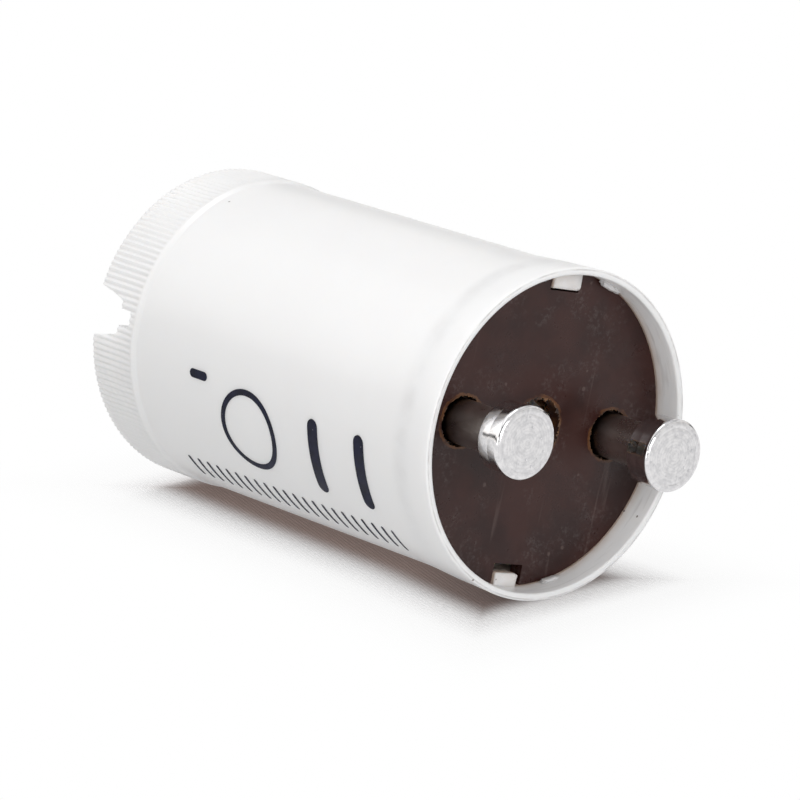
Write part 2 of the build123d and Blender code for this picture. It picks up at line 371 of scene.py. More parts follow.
# White moulded plastic, with faint flow lines, a painted shade band at the crease, light scuffs and a few
# dark specks.
# Its mouth is stained by the disc and has streaks, more specks and a broken line on the lip.
# Clouds are noise masks, and reaches are in millimetres
plasticLook = {
    "light": (0.870, 0.868, 0.868),
    "dark": (0.862, 0.858, 0.859),
    "toneScale": 120.0,
    "grainScale": 1800.0,
    "smooth": 0.30,
    "coarse": 0.335,
    "bump": 0.0015,
    "flow": {"scale": 900.0, "detail": 2.0},
    "flowStretch": (1, 1, 0.08),
    "speck": (0.20, 0.17, 0.16),
    "bodySpecks": {"Scale": 380.0, "Size": 0.036, "Share": 0.22},
    "mouthSpecks": {"Scale": 1100.0, "Size": 0.11, "Share": 0.3},
    # colour of the scuffs, streaks and lip line, and of the painted shade at the crease
    "scuffAndShade": (0.42, 0.40, 0.40),
    "scuffCloud": {"scale": 260.0, "low": 0.62, "high": 0.95, "most": 0.05, "detail": 5.0, "roughness": 0.62,
                   "stretch": (1, 1, 1.6)},
    # painted shade: a noisy grey band round the barrel at the crease, where the flare's slope changes
    "creaseShadeHeight": 32.3,
    "creaseShadeReach": (0.2, 1.1),
    "creaseShadeCloud": {"scale": 170.0, "low": 0.45, "high": 0.75, "most": 0.28, "detail": 5.0},
    "stain": (0.50, 0.36, 0.27),
    "stainCloud": {"scale": 500.0, "low": 0.25, "high": 0.7, "least": 0.1, "most": 0.5, "detail": 4.0},
    "stainReach": (-0.1, 0.9),
    "seatReach": (-4.0, -2.0),
    "wallReach": (0.08, 0.16),
    "edgeReach": (0.06, 0.2),
    "edgeLine": 0.75,
    "streakCloud": {"scale": 2600.0, "low": 0.5, "high": 0.72, "most": 0.30, "stretch": (0.12, 0.12, 1)},
    "lipReach": (-0.25, -0.1),
    "lipLine": 0.55,
    "lipLineRadius": 10.56,
    "lipLineReach": (0.02, 0.08),
    "lipLineCloud": {"scale": 600.0, "low": 0.35, "high": 0.6, "least": 0.15},
    "refraction": 1.5,
    "milkiness": 0.7,
    "lightReach": 0.9,
    "lightSpread": (1.0, 0.95, 0.9),
}


def makePlastic():
    look = plasticLook
    material, tree, surface = newSurface("whitePlastic")
    where = objectVector(tree)
    x, y, z = splitVector(where)
    away = distanceNode(x, y)
    tone, gloss, grain = toneAndGrain(where, look)
    nearSeat = rampMask(z, discSeat, look["seatReach"])
    onWall = multiply(rampMask(away, discRadius, look["wallReach"], 1.0, 0.0), nearSeat)
    onLip = rampMask(z, bodyTop, look["lipReach"])

    # Painted shade at the crease: a grey band near the crease's height, broken by noise, joined to the real
    # scuffs
    offCrease = absolute(subtract(z, look["creaseShadeHeight"] * mm))
    nearCrease = rampMask(offCrease, 0, look["creaseShadeReach"], 1.0, 0.0)
    paintedCreaseShade = multiply(nearCrease, cloudMask(tree, **look["creaseShadeCloud"]))
    scuffsAndCreaseShade = larger(paintedCreaseShade, cloudMask(tree, **look["scuffCloud"]))
    colour = mixColour(scuffsAndCreaseShade, tone, look["scuffAndShade"])

    lowOnWall = rampMask(z, discFace, look["stainReach"], 1.0, 0.0)
    stain = multiply(multiply(onWall, lowOnWall), cloudMask(tree, **look["stainCloud"]))
    edgeLine = rampMask(z, discFace, look["edgeReach"], look["edgeLine"], 0.0)
    stain = larger(stain, multiply(edgeLine, onWall))
    colour = mixColour(stain, colour, look["stain"])

    streaks = multiply(cloudMask(tree, **look["streakCloud"]), onWall)
    offLine = absolute(subtract(away, look["lipLineRadius"] * mm))
    lipLine = multiply(rampMask(offLine, 0, look["lipLineReach"], look["lipLine"], 0.0), onLip)
    lipLine = multiply(lipLine, cloudMask(tree, **look["lipLineCloud"]))
    colour = mixColour(larger(lipLine, streaks), colour, look["scuffAndShade"])

    bodyDots = useGroup(specks, Vector=where, **look["bodySpecks"])["Mask"]
    mouthDots = useGroup(specks, Vector=where, **look["mouthSpecks"])["Mask"]
    mouthDots = multiply(mouthDots, larger(onLip, onWall))
    colour = mixColour(larger(bodyDots, mouthDots), colour, look["speck"])

    flow = noiseNode(objectVector(tree, look["flowStretch"]), **look["flow"])
    height = multiply(add(grain, flow), 0.5)
    dress(surface, colour, gloss, height, look["bump"])
    feed(surface, {
        "IOR": look["refraction"],
        "Subsurface Weight": look["milkiness"],
        "Subsurface Radius": look["lightSpread"],
        "Subsurface Scale": look["lightReach"] * mm,
    })
    return material


# Dark brown resin-bonded paper, with scratches, dust and flecks, torn and lighter round its punched holes
discLook = {
    "light": (0.038, 0.0118, 0.0092),
    "dark": (0.021, 0.0064, 0.0054),
    "toneScale": 260.0,
    "grainScale": 2600.0,
    "smooth": 0.26,
    "coarse": 0.42,
    "bump": 0.004,
    "refraction": 1.36,
    "fleck": (0.11, 0.075, 0.068),
    "fleckShare": 0.6,
    "flecks": {"Scale": 900.0, "Size": 0.16, "Share": 0.22},
    "scratchCloud": {"scale": 1500.0, "low": 0.66, "high": 0.74, "most": 0.35, "detail": 2.0,
                     "stretch": (1, 0.06, 1), "turn": 0.5},
    "dust": (0.17, 0.145, 0.14),
    "dustCloud": {"scale": 3600.0, "low": 0.46, "high": 0.70, "most": 0.22, "detail": 4.0, "roughness": 0.65},
    "dustPatches": {"scale": 330.0, "low": 0.46, "high": 0.62},
    "torn": (0.12, 0.050, 0.020),
    "tornWidth": 0.17,
    "tornScale": 2200.0,
    "tornCloud": {"scale": 700.0, "low": 0.35, "high": 0.6},
    "centreHole": 2.0,
    "pinHole": 1.65,
}


def makeDiscMaterial():
    look = discLook
    material, tree, surface = newSurface("brownPaperBoard")
    where = objectVector(tree)
    x, y = splitVector(where)[:2]
    across = absolute(x)
    tone, gloss, grain = toneAndGrain(where, look)
    tornReach = multiply(noiseNode(where, look["tornScale"]), 2 * look["tornWidth"] * mm)

    # Torn is what lies nearer to a hole's edge than the ragged reach
    def tornRound(offset, radius):
        gap = subtract(distanceNode(offset, y), radius * mm)
        return less(gap, tornReach)

    pinHole = tornRound(subtract(across, pinX * mm), look["pinHole"])
    torn = larger(tornRound(across, look["centreHole"]), pinHole)
    torn = multiply(torn, cloudMask(tree, **look["tornCloud"]))
    colour = mixColour(cloudMask(tree, **look["scratchCloud"]), tone, look["fleck"])
    dust = multiply(cloudMask(tree, **look["dustCloud"]), cloudMask(tree, **look["dustPatches"]))
    colour = mixColour(dust, colour, look["dust"])
    flecks = useGroup(specks, Vector=where, **look["flecks"])["Mask"]
    colour = mixColour(multiply(flecks, look["fleckShare"]), colour, look["fleck"])
    colour = mixColour(torn, colour, look["torn"])
    dress(surface, colour, gloss, add(grain, torn), look["bump"])
    feed(surface, {"IOR": look["refraction"]})
    return material


# Turned aluminium: satin end faces with tool rings, pits and scratches, bright sides, and necks that are
# duller, and darker near the disc, which is soil together with a painted dark reflection of the disc
pinLook = {
    "light": (0.78, 0.77, 0.775),
    "dark": (0.64, 0.635, 0.645),
    "toneScale": 2900.0,
    "grainScale": 3000.0,
    "smooth": 0.0,
    "coarse": 0.10,
    "bump": 0.016,
    "faceReach": (-0.05, -0.012),
    "headReach": (-2.12, -1.95),
    "soilAndShadeReach": (-0.2, 2.0),
    "faceGloss": 0.42,
    "sideGloss": 0.09,
    "neckGloss": 0.26,
    "neck": (0.60, 0.55, 0.52),
    # near the disc the pins go almost black: soil together with a painted dark reflection of the disc
    "soilAndShade": (0.026, 0.0175, 0.014),
    "mark": (0.40, 0.40, 0.43),
    "markShare": 0.3,
    "pits": {"Scale": 2300.0, "Size": 0.26, "Share": 0.4},
    "scratchCloud": {"scale": 2600.0, "low": 0.6, "high": 0.72, "detail": 2.0,
                     "stretch": (1, 0.1, 1), "turn": 0.9},
    "ring": (0.52, 0.52, 0.54),
    "ringTone": 0.22,
    "ringRange": (0.2, 1.0),
    "ringHeight": 0.16,
    "ringSpacing": 0.21,
    "ringWobble": 7.0,
    "ringWobbleScale": 900.0,
    "mottleHeight": 1.6,
    "mottle": {"scale": 3800.0, "detail": 4.0, "roughness": 0.65},
}


def makePinMaterial():
    look = pinLook
    material, tree, surface = newSurface("turnedAluminium")
    where = objectVector(tree)
    x, y, z = splitVector(where)
    tone, grain = toneAndGrain(where, look)[:2]
    onFace = rampMask(z, pinHigh.z, look["faceReach"])
    onHead = rampMask(z, pinHigh.z, look["headReach"])
    # Painted dark reflection of the disc, together with soil, over the lowest part of the pins
    inHole = rampMask(z, discFace, look["soilAndShadeReach"], 1.0, 0.0)

    offAxis = subtract(absolute(x), pinX * mm)
    turns = multiply(distanceNode(offAxis, y), tau / (look["ringSpacing"] * mm))
    wobble = multiply(noiseNode(where, look["ringWobbleScale"]), look["ringWobble"])
    rings = sine(add(turns, wobble))
    pits = useGroup(specks, Vector=where, **look["pits"])["Mask"]
    scratches = cloudMask(tree, **look["scratchCloud"])

    marked = multiply(larger(pits, scratches), onFace)
    colour = mixColour(multiply(marked, look["markShare"]), tone, look["mark"])
    ringMask = multiply(rangeNode(rings, *look["ringRange"], 0.0, look["ringTone"]), onFace)
    colour = mixColour(ringMask, colour, look["ring"])
    colour = mixColour(onHead, look["neck"], colour)
    colour = mixColour(inHole, colour, look["soilAndShade"])
    gloss = rangeNode(onHead, 0.0, 1.0, look["neckGloss"], look["sideGloss"], "LINEAR")
    gloss = rangeNode(onFace, 0.0, 1.0, gloss, look["faceGloss"], "LINEAR")

    mottle = multiply(noiseNode(where, **look["mottle"]), look["mottleHeight"])
    height = subtract(multiply(rings, look["ringHeight"]), pits)
    height = add(subtract(height, scratches), mottle)
    dress(surface, colour, add(gloss, grain), multiply(height, onFace), look["bump"])
    feed(surface, {"Metallic": 1.0})
    return material


# Printing ink, slightly broken by pale gaps
inkLook = {
    "light": (0.011, 0.012, 0.032),
    "dark": (0.006, 0.0065, 0.016),
    "toneScale": 1500.0,
    "grainScale": 2400.0,
    "smooth": 0.42,
    "coarse": 0.6,
    "bump": 0.0,
    "refraction": 1.22,
    "gap": (0.3, 0.3, 0.33),
    "gapShare": 0.5,
    "gaps": {"Scale": 2600.0, "Size": 0.12, "Share": 0.12},
}


def makeInk():
    look = inkLook
    material, tree, surface = newSurface("navyInk")
    where = objectVector(tree)
    tone, gloss, grain = toneAndGrain(where, look)
    gaps = useGroup(specks, Vector=where, **look["gaps"])["Mask"]
    colour = mixColour(multiply(gaps, look["gapShare"]), tone, look["gap"])
    dress(surface, colour, gloss, grain, look["bump"])
    feed(surface, {"IOR": look["refraction"]})
    return material


# A plain finish: tone and grain straight onto the surface
def makeFinish(name, look):
    material, tree, surface = newSurface(name)
    dress(surface, *toneAndGrain(objectVector(tree), look), look["bump"])
    feed(surface, {"Metallic": look["metal"], "Transmission Weight": look["clear"]})
    return material


# Plain finishes: what they share, then what each changes. Those of the works inside go by material slot
plainLook = {
    "toneScale": 700.0, "grainScale": 3000.0, "smooth": 0.2, "coarse": 0.4,
    "bump": 0.008, "metal": 1.0, "clear": 0.0,
}
fibreLook = {
    "light": (0.20, 0.095, 0.04), "dark": (0.02, 0.009, 0.006), "smooth": 0.5, "coarse": 0.8,
    "toneScale": 2200.0, "grainScale": 5000.0, "bump": 0.03, "metal": 0.0,
}
innerLooks = {
    "solder": {"light": (0.55, 0.55, 0.56), "dark": (0.36, 0.36, 0.37), "smooth": 0.3, "coarse": 0.5},
    "lead_in_wires": {"light": (0.72, 0.42, 0.28), "dark": (0.5, 0.28, 0.18)},
    "electrode_nickel": {"light": (0.62, 0.6, 0.56), "dark": (0.48, 0.46, 0.43), "smooth": 0.25},
    "bimetal": {"light": (0.58, 0.56, 0.52), "dark": (0.42, 0.40, 0.38), "smooth": 0.25, "coarse": 0.45},
    "condenser_coating": {
        "light": (0.55, 0.33, 0.10), "dark": (0.42, 0.24, 0.07), "coarse": 0.35, "metal": 0.0,
    },
    "condenser_leads": {"light": (0.72, 0.72, 0.72), "dark": (0.55, 0.55, 0.56)},
    "tube_glass": {
        "light": (0.97, 0.99, 0.98), "dark": (0.90, 0.94, 0.93), "smooth": 0.0, "coarse": 0.06,
        "toneScale": 300.0, "grainScale": 600.0, "bump": 0.0, "metal": 0.0, "clear": 1.0,
    },
}

whitePlastic = makePlastic()
brownBoard = makeDiscMaterial()
tornFibre = makeFinish("tornFibre", {**plainLook, **fibreLook})
turnedAluminium = makePinMaterial()
navyInk = makeInk()
print("materials made")

# The disc and the works keep their solids and get their finishes
finishes = {slot: makeFinish("inner_" + slot, {**plainLook, **look}) for slot, look in innerLooks.items()}
finishes["base_disc"] = brownBoard
for row in frame["record"]["subparts"]:
    if row["material_slot"] in finishes:
        dressed = frame["nodes"][row["node"]].data.materials
        dressed.clear()
        dressed.append(finishes[row["material_slot"]])

# Canister: one moulded cup, in millimetres and degrees
canister = {
    "sharpAngle": 35,
    "barrelRadius": 10.4,
    "barrelStart": 1.0,
    "wall": 0.85,
    "endWall": 0.9,
    "cavityCorner": 0.3,
    "bandLength": 4.6,
    "bandMiddle": 2.0,
    "bandStep": 0.15,
    "bandRounding": 0.4,
    "stepRounding": 0.3,
    "stepLength": 0.35,
    "ridgeCount": 160,
    "ridgeDepth": 0.11,
    "ridgeLand": 0.15,
    "ridgeEnd": 0.2,
    "pointsPerRidge": 6,
    "flareLength": 7.0,
    "flareRows": 12,
    "creaseDepth": 2.3,
    "creaseStep": 0.2,
    "rimStep": 0.3,
    "rimWall": 0.5,
    "rimRounding": 0.14,
    "slotWidth": 3.5,
    "slotFloor": 2.3,
    "slotDepth": 2.8,
    "slotCorner": 0.45,
    "humpFoot": 0.4,
    "humpReach": 9.9,
    "windowSize": 1.1,
    "windowReach": 1.3,
    "windowDip": 0.2,
    "windowCorner": 0.12,
    "cutReach": 12.0,
}
rimRadius = canister["barrelRadius"] + canister["rimStep"]
seatRadius = rimRadius - canister["rimWall"]
cavityRadius = canister["barrelRadius"] - canister["wall"]
bandRadius = canister["barrelRadius"] + canister["bandStep"]


# Outer radius of the barrel at a height: straight, then a smooth swell to the crease, then a straight lip
def barrelRadiusAt(z):
    z = np.asarray(z, float)
    start, crease = bodyTop - canister["flareLength"], bodyTop - canister["creaseDepth"]
    share = np.clip((z - start) / (crease - start), 0, 1)
    lip = np.clip((z - crease) / (bodyTop - crease), 0, None)
    swell = canister["creaseStep"] * share * share * (3 - 2 * share)
    return canister["barrelRadius"] + swell + (canister["rimStep"] - canister["creaseStep"]) * lip


# Section of the slot, (y, z), grown outwards by a wall: upright below the end face, then narrowing
def slotSection(grow=0.0, bottom=-2.0):
    half, floor, depth = canister["slotWidth"] / 2, canister["slotFloor"] / 2, canister["slotDepth"]
    lean = (half - floor) / depth
    wider = grow * math.hypot(1, lean)

    def halfAt(z):
        return half + wider - lean * max(z, 0)

    knees = [(halfAt(0), 0)] if bottom < 0 else []
    top = (halfAt(depth + grow), depth + grow, canister["slotCorner"] + grow)
    right = [(halfAt(bottom), bottom), *knees, top]
    left = [(-spot[0], *spot[1:]) for spot in reversed(right)]
    return roundedPath(right + left, closed=True)


# Lathe of one closed profile: up the outside, over the rim, down inside to the disc's seat and the cavity.
# In the band the radius sinks by the ridges' depth times a groove, 0 on a ridge's land and 1 between two, and
# times a fade at the band's ends. Then the hump is joined, and the slot and its two windows are cut
def makeCanister():
    size = canister
    barrel, band, end = size["barrelRadius"], size["bandLength"], size["ridgeEnd"]
    outside = roundedPath([
        (0, 0), (bandRadius, 0, size["bandRounding"]),
        (bandRadius, size["bandMiddle"]), (bandRadius, band - 2 * end),
        (bandRadius, band - end), (bandRadius, band, size["stepRounding"]),
        (barrel, band + size["stepLength"], size["stepRounding"]), (barrel, band + size["barrelStart"]),
    ], steps=4)
    side = np.linspace(bodyTop - size["flareLength"], bodyTop - size["creaseDepth"], size["flareRows"])
    flare = np.column_stack([barrelRadiusAt(side), side])
    inside = roundedPath([
        flare[-1], (rimRadius, bodyTop, size["rimRounding"]),
        (seatRadius, bodyTop, size["rimRounding"]), (seatRadius, discSeat), (cavityRadius, discSeat),
        (cavityRadius, size["endWall"], size["cavityCorner"]), (0, size["endWall"]),
    ], steps=5)
    profile = np.concatenate([outside, flare, inside[1:]])

    columns = size["ridgeCount"] * size["pointsPerRidge"]
    place = np.arange(columns) / size["pointsPerRidge"] % 1.0
    groove = np.clip((1 - np.abs(2 * place - 1) - size["ridgeLand"]) / (1 - size["ridgeLand"]), 0, 1)
    radius, height = profile[1:-1].T
    upFoot = np.clip((radius - bandRadius + size["bandRounding"]) / size["bandRounding"], 0, 1)
    belowStep = np.clip((band - end - height) / end, 0, 1)
    fade = np.where(height < band, upFoot * belowStep, 0)
    surface = lathe(profile, columns, -size["ridgeDepth"] * fade[:, None] * groove)
    shell = addPiece("plasticCanister", *surface, whitePlastic, "canister_plastic", size["sharpAngle"])

    hump = slotSection(size["endWall"], size["humpFoot"])
    shapeWith(shell, [prism("hump", hump, -size["humpReach"], size["humpReach"])], "UNION")
    half, low, corner = size["windowSize"] / 2, size["slotDepth"], size["windowCorner"]
    window = roundedPath([
        (-half, low - size["windowDip"]), (half, low - size["windowDip"]),
        (half, low + size["windowSize"], corner), (-half, low + size["windowSize"], corner),
    ], steps=3, closed=True)
    near, far = barrel - size["windowReach"], size["cutReach"]
    shapeWith(shell, [
        prism("slot", slotSection(), -far, far),
        prism("windowRight", window, near, far),
        prism("windowLeft", window, -far, -near),
    ], "DIFFERENCE")
    shell.data.set_sharp_from_angle(angle=math.radians(size["sharpAngle"]))
    return shell


shell = makeCanister()
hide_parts("canister")
print("canister made:", len(shell.data.polygons), "faces")

# Keys and nubs of the mouth, with the ragged edges that moulding leaves, in millimetres and degrees
mouthDetail = {
    "sharpAngle": 60,
    "columns": 48,
    "rows": 22,
    "sunk": 0.1,
    "keys": {"front": (1.27, 2.34, 0.0), "back": (0.86, 1.9, 0.16)},  # depth, width and shift
    "keyRise": 0.25,
    "keyShape": {"power": 0.22, "ragged": 0.05},
    "keySeed": 7,
    "nubs": {  # depth and arc
        "frontLeft": (0.30, 9.0),
        "frontRight": (0.34, 11.0),
        "backLeft": (0.2, 8.0),
        "backRight": (0.16, 8.0),
    },
    "nubHeight": 0.6,
    "nubTurn": 20.0,
    "nubShape": {"power": 0.6, "ragged": 0.25},
    "nubSeed": 21,
}


# Rounded lump: point(u, v) = centre + half sizes times (cos v cos u, cos v sin u, sin v), where each keeps
# its sign and is raised to a power under one, which squares the ball up; a seeded wave makes it ragged
def lump(name, centre, half, turn, seed, power, ragged):
    rows, columns = mouthDetail["rows"], mouthDetail["columns"]
    around = np.arange(columns) * tau / columns
    upward = np.linspace(-math.pi / 2, math.pi / 2, rows + 2)[1:-1, None]

    def squared(x):
        return np.sign(x) * np.abs(x) ** power

    wave = 1 + ragged * roughWave(around, seed) * np.cos(upward)
    wave = wave + 0.5 * ragged * roughWave(around + 2 * upward, seed + 50)
    ball = np.stack([
        squared(np.cos(upward)) * squared(np.cos(around)) * wave,
        squared(np.cos(upward)) * squared(np.sin(around)) * wave,
        squared(np.sin(upward)) * wave,
    ], axis=-1).reshape(-1, 3)
    local = np.concatenate([ball, [[0, 0, -1], [0, 0, 1]]]) * half
    cosTurn, sinTurn = math.cos(turn), math.sin(turn)
    spin = np.array([[cosTurn, sinTurn, 0], [-sinTurn, cosTurn, 0], [0, 0, 1]])
    surface = local @ spin + centre, *polarFaces(rows, columns)
    addPiece(name, *surface, whitePlastic, "canister_plastic", mouthDetail["sharpAngle"])


def makeMouthDetail():
    detail = mouthDetail
    keyHeight = discFace + detail["keyRise"] - discSeat
    nubMiddle = discFace + detail["nubHeight"] / 2

    # Half depth of a lump that is sunk in the wall, and how far its middle is from the axis
    def bed(depth):
        return depth / 2 + detail["sunk"], seatRadius - depth / 2 + detail["sunk"]

    for end, side in (("front", -1), ("back", 1)):
        depth, across, shift = detail["keys"][end]
        halfDepth, reach = bed(depth)
        spot, half = (shift, side * reach, discSeat + keyHeight / 2), (across / 2, halfDepth, keyHeight / 2)
        lump(end + "Key", spot, half, 0, detail["keySeed"] + side, **detail["keyShape"])
        for hand, sign in (("Left", -1), ("Right", 1)):
            depth, arc = detail["nubs"][end + hand]
            halfDepth, reach = bed(depth)
            angle = math.radians(90 * side + sign * detail["nubTurn"])
            spot = (reach * math.cos(angle), reach * math.sin(angle), nubMiddle)
            half = (halfDepth, seatRadius * math.radians(arc) / 2, detail["nubHeight"] / 2)
            seed = detail["nubSeed"] + 3 * side + sign
            lump(end + hand + "Nub", spot, half, angle, seed, **detail["nubShape"])


makeMouthDetail()
print("mouth detail made")

# Contact pins, in millimetres from the disc and the head
pin = {
    "sharpAngle": 50,
    "columns": 144,
    "headThickness": 2.0,
    "headRounding": 0.22,
    "backRounding": 0.08,
    "flareFrom": 1.1,
    "flareFromRounding": 0.3,
    "flareTo": 0.38,
    "flareToRounding": 0.08,
    "flareReach": 0.06,
    "neckRadius": 1.45,
    "neckRounding": 0.12,
    "upsetRadius": 1.63,
    "upsetLength": 0.5,
    "upsetRounding": 0.06,
    "collarRadius": 1.95,
    "collarThickness": 0.7,
    "collarRounding": 0.2,
    "tailRadius": 1.35,
    "tailRounding": 0.08,
    "boreRadius": 0.85,
    "boreDepth": 1.8,
    "boreRounding": 0.05,
    "faceCrown": 0.03,
    "grooveCrown": (0.5, 0.3, 0.4),  # shares of the crown outside, in and inside the groove
    "grooveShare": 0.78,
    "grooveWidth": 0.12,
    "grooveDepth": 0.02,
    "grooveRounding": 0.04,
}


# Lathe of one profile: out of the tail's bore, up its outside, collar and neck, and round the head
def makePin(name, nodeName, centreX):
    size = pin
    top, tail = pinHigh.z, pinLow.z
    boreTop, collarLow = tail + size["boreDepth"], discSeat - size["collarThickness"]
    upsetTop, neckTop = discSeat + size["upsetLength"], top - size["headThickness"]
    backRadius, groove = headRadius - size["flareReach"], headRadius * size["grooveShare"]
    outer, middle, inner = [share * size["faceCrown"] for share in size["grooveCrown"]]
    profile = roundedPath([
        (0, boreTop), (size["boreRadius"], boreTop),
        (size["boreRadius"], tail, size["boreRounding"]), (size["tailRadius"], tail, size["tailRounding"]),
        (size["tailRadius"], collarLow), (size["collarRadius"], collarLow, size["collarRounding"]),
        (size["collarRadius"], discSeat), (size["upsetRadius"], discSeat),
        (size["upsetRadius"], upsetTop, size["upsetRounding"]), (size["neckRadius"], upsetTop),
        (size["neckRadius"], neckTop, size["neckRounding"]), (backRadius, neckTop, size["backRounding"]),
        (backRadius, top - size["flareFrom"], size["flareFromRounding"]),
        (headRadius, top - size["flareTo"], size["flareToRounding"]),
        (headRadius, top - size["faceCrown"], size["headRounding"]),
        (groove + size["grooveWidth"], top - outer, size["grooveRounding"]),
        (groove, top - size["grooveDepth"] - middle, size["grooveRounding"]),
        (groove - size["grooveWidth"], top - inner, size["grooveRounding"]),
        (0, top),
    ])
    surface = lathe(profile, size["columns"], centreX=centreX)
    piece = addPiece(name, *surface, turnedAluminium, "contact_pins", size["sharpAngle"])
    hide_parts(nodeName)


makePin("rightPin", "right_contact_pin", pinX)
makePin("leftPin", "left_contact_pin", -pinX)
print("pins made")

# Torn edges of the holes, in millimetres; a wave's turns are the fewest and the most round a hole
tornEdge = {
    "sharpAngle": 70,
    "steps": 320,
    "sectionPoints": 8,
    "centreWidth": 0.42,
    "pinWidth": 0.22,
    "thickness": 0.06,
    "past": 0.03,
    "sunk": 0.02,
    "rise": 0.03,
    "riseTurns": (4, 24),
    "coarseTurns": (5, 60),
    "fineTurns": (30, 90),
    "fineShare": 0.5,
    "middleWidth": 0.3,
    "widthSwing": 0.9,
    "leastWidth": 0.1,
}


# Ragged ring of fibres at a hole's edge: point(a, b) = (r cos a, r sin a, z) round the hole's centre, where b
# goes round a small ellipse whose width follows a seeded wave of a and whose height follows a slower one
def tornRing(name, centreX, radius, seed, widest):
    edge = tornEdge
    angle = np.arange(edge["steps"])[:, None] * tau / edge["steps"]
    section = np.arange(edge["sectionPoints"]) * tau / edge["sectionPoints"]
    wave = roughWave(angle, seed, *edge["coarseTurns"])
    wave = wave + edge["fineShare"] * roughWave(angle, seed + 9, *edge["fineTurns"])
    width = np.clip(edge["middleWidth"] + edge["widthSwing"] * wave, edge["leastWidth"], 1.0) * widest / 2
    ringRadius = radius + edge["past"] - width + width * np.cos(section)
    rise = edge["rise"] * roughWave(angle, seed + 4, *edge["riseTurns"])
    height = discFace - edge["sunk"] + rise + edge["thickness"] / 2 * np.sin(section)
    points = np.stack([
        centreX + ringRadius * np.cos(angle), ringRadius * np.sin(angle), height,
    ], axis=-1).reshape(-1, 3)
    quads = gridQuads(edge["steps"], edge["sectionPoints"], wrapRows=True, wrapColumns=True)
    addPiece(name, points, quads[:, ::-1], (), tornFibre, "base_disc", edge["sharpAngle"])


tornRing("centreHoleFibres", 0, discLook["centreHole"], 11, tornEdge["centreWidth"])
tornRing("rightHoleFibres", pinX, discLook["pinHole"], 12, tornEdge["pinWidth"])
tornRing("leftHoleFibres", -pinX, discLook["pinHole"], 13, tornEdge["pinWidth"])
print("torn hole edges made")

# Plain printed shapes on the barrel: places are degrees round and millimetres up
ink = {
    "sharpAngle": 60,
    "lift": 0.012,
    "sink": 0.02,
    "ringPoints": 96,
    "ringAngle": 26.0,
    "ringHeight": 16.6,
    "ringRadius": 2.6,
    "ringStroke": 0.42,
    "smallBar": {"height": 11.6, "angle": 11.0, "length": 1.8, "stroke": 0.6, "points": 24, "upright": True},
    "bold": {"angle": 27.0, "length": 5.2, "stroke": 1.0, "points": 24},
    "boldHeights": (23.4, 28.0),
    "tick": {"angle": 55.5, "length": 2.1, "stroke": 0.26, "points": 12},
    "tickHeights": (8.0, 29.0, 22),  # from, to and how many
}


# Wraps flat (across, up) points, across in millimetres of arc, onto the barrel at a height above its skin
def wrapOnBarrel(across, up, lift):
    radius = barrelRadiusAt(up) + lift
    angle = across / canister["barrelRadius"]
    return np.stack([radius * np.cos(angle), radius * np.sin(angle), up], axis=-1)


# Printed stroke: a path's points are offset to both sides by half the width, which goes down as a half circle
# does at an open end, and the strip gets a thin edge
def inkStroke(name, path, width, closed=False):
    ahead = np.roll(path, -1, 0) - np.roll(path, 1, 0)
    taper = np.ones(len(path))
    if not closed:
        ahead[0], ahead[-1] = path[1] - path[0], path[-1] - path[-2]
        run = np.concatenate([[0], np.cumsum(np.linalg.norm(np.diff(path, axis=0), axis=1))])
        edge = np.minimum(run, run[-1] - run) / (width / 2)
        taper = np.sqrt(np.clip(1 - (1 - np.clip(edge, 0, 1)) ** 2, 0.05, 1))
    ahead = ahead / np.linalg.norm(ahead, axis=1, keepdims=True)
    normal = np.column_stack([-ahead[:, 1], ahead[:, 0]])
    upper = np.array([-0.5, -0.25, 0, 0.25, 0.5])
    offsets = np.concatenate([upper, upper[::-1]]) * width
    lift = np.repeat([ink["lift"], -ink["sink"]], len(upper))
    spots = path[:, None] + normal[:, None] * (offsets[:, None] * taper[:, None, None])
    points = wrapOnBarrel(spots[..., 0], spots[..., 1], lift)
    rows, columns = points.shape[:2]
    faces = gridQuads(rows, columns, wrapRows=closed, wrapColumns=True)
    if not closed:
        top = np.arange(len(upper) - 1)
        low = columns - 1 - top
        start = np.stack([top, low, low - 1, top + 1], axis=-1)
        end = np.stack([top, top + 1, low - 1, low], axis=-1) + (rows - 1) * columns
        faces = np.concatenate([faces, start, end])
    addPiece(name, points.reshape(-1, 3), faces[:, ::-1], (), navyInk, None, ink["sharpAngle"])


def makePrint():
    def arc(angle):
        return math.radians(angle) * canister["barrelRadius"]

    # Straight stroke round the barrel, or up it, whose points crowd towards its rounded ends
    def bar(name, height, angle, length, stroke, points, upright=False):
        half = np.array([0, length / 2] if upright else [length / 2, 0])
        share = -np.cos(np.linspace(0, math.pi, points))[:, None]
        inkStroke(name, (arc(angle), height) + half * share, stroke)

    turn = np.arange(ink["ringPoints"]) * tau / ink["ringPoints"]
    ring = np.column_stack([
        arc(ink["ringAngle"]) + ink["ringRadius"] * np.cos(turn),
        ink["ringHeight"] + ink["ringRadius"] * np.sin(turn),
    ])
    inkStroke("inkRing", ring, ink["ringStroke"], closed=True)
    bar("inkSmallBar", **ink["smallBar"])
    for count, height in enumerate(ink["boldHeights"]):
        bar(f"inkBold{count}", height, **ink["bold"])
    for count, height in enumerate(np.linspace(*ink["tickHeights"])):
        bar(f"inkTick{count:02d}", height, **ink["tick"])


makePrint()
print("print made")

# Camera of the photograph: where it stands round the part, how it is rolled, and its lens
photoView = {
    "azimuth": 80.09,
    "elevation": 47.70,
    "distance": 317.9,
    "roll": 108.76,
    "lens": 220.96,
    "sensorWidth": 36,
    "clipStart": 0.01,
    "aim": (0.19, 1.06, 20.06),
}


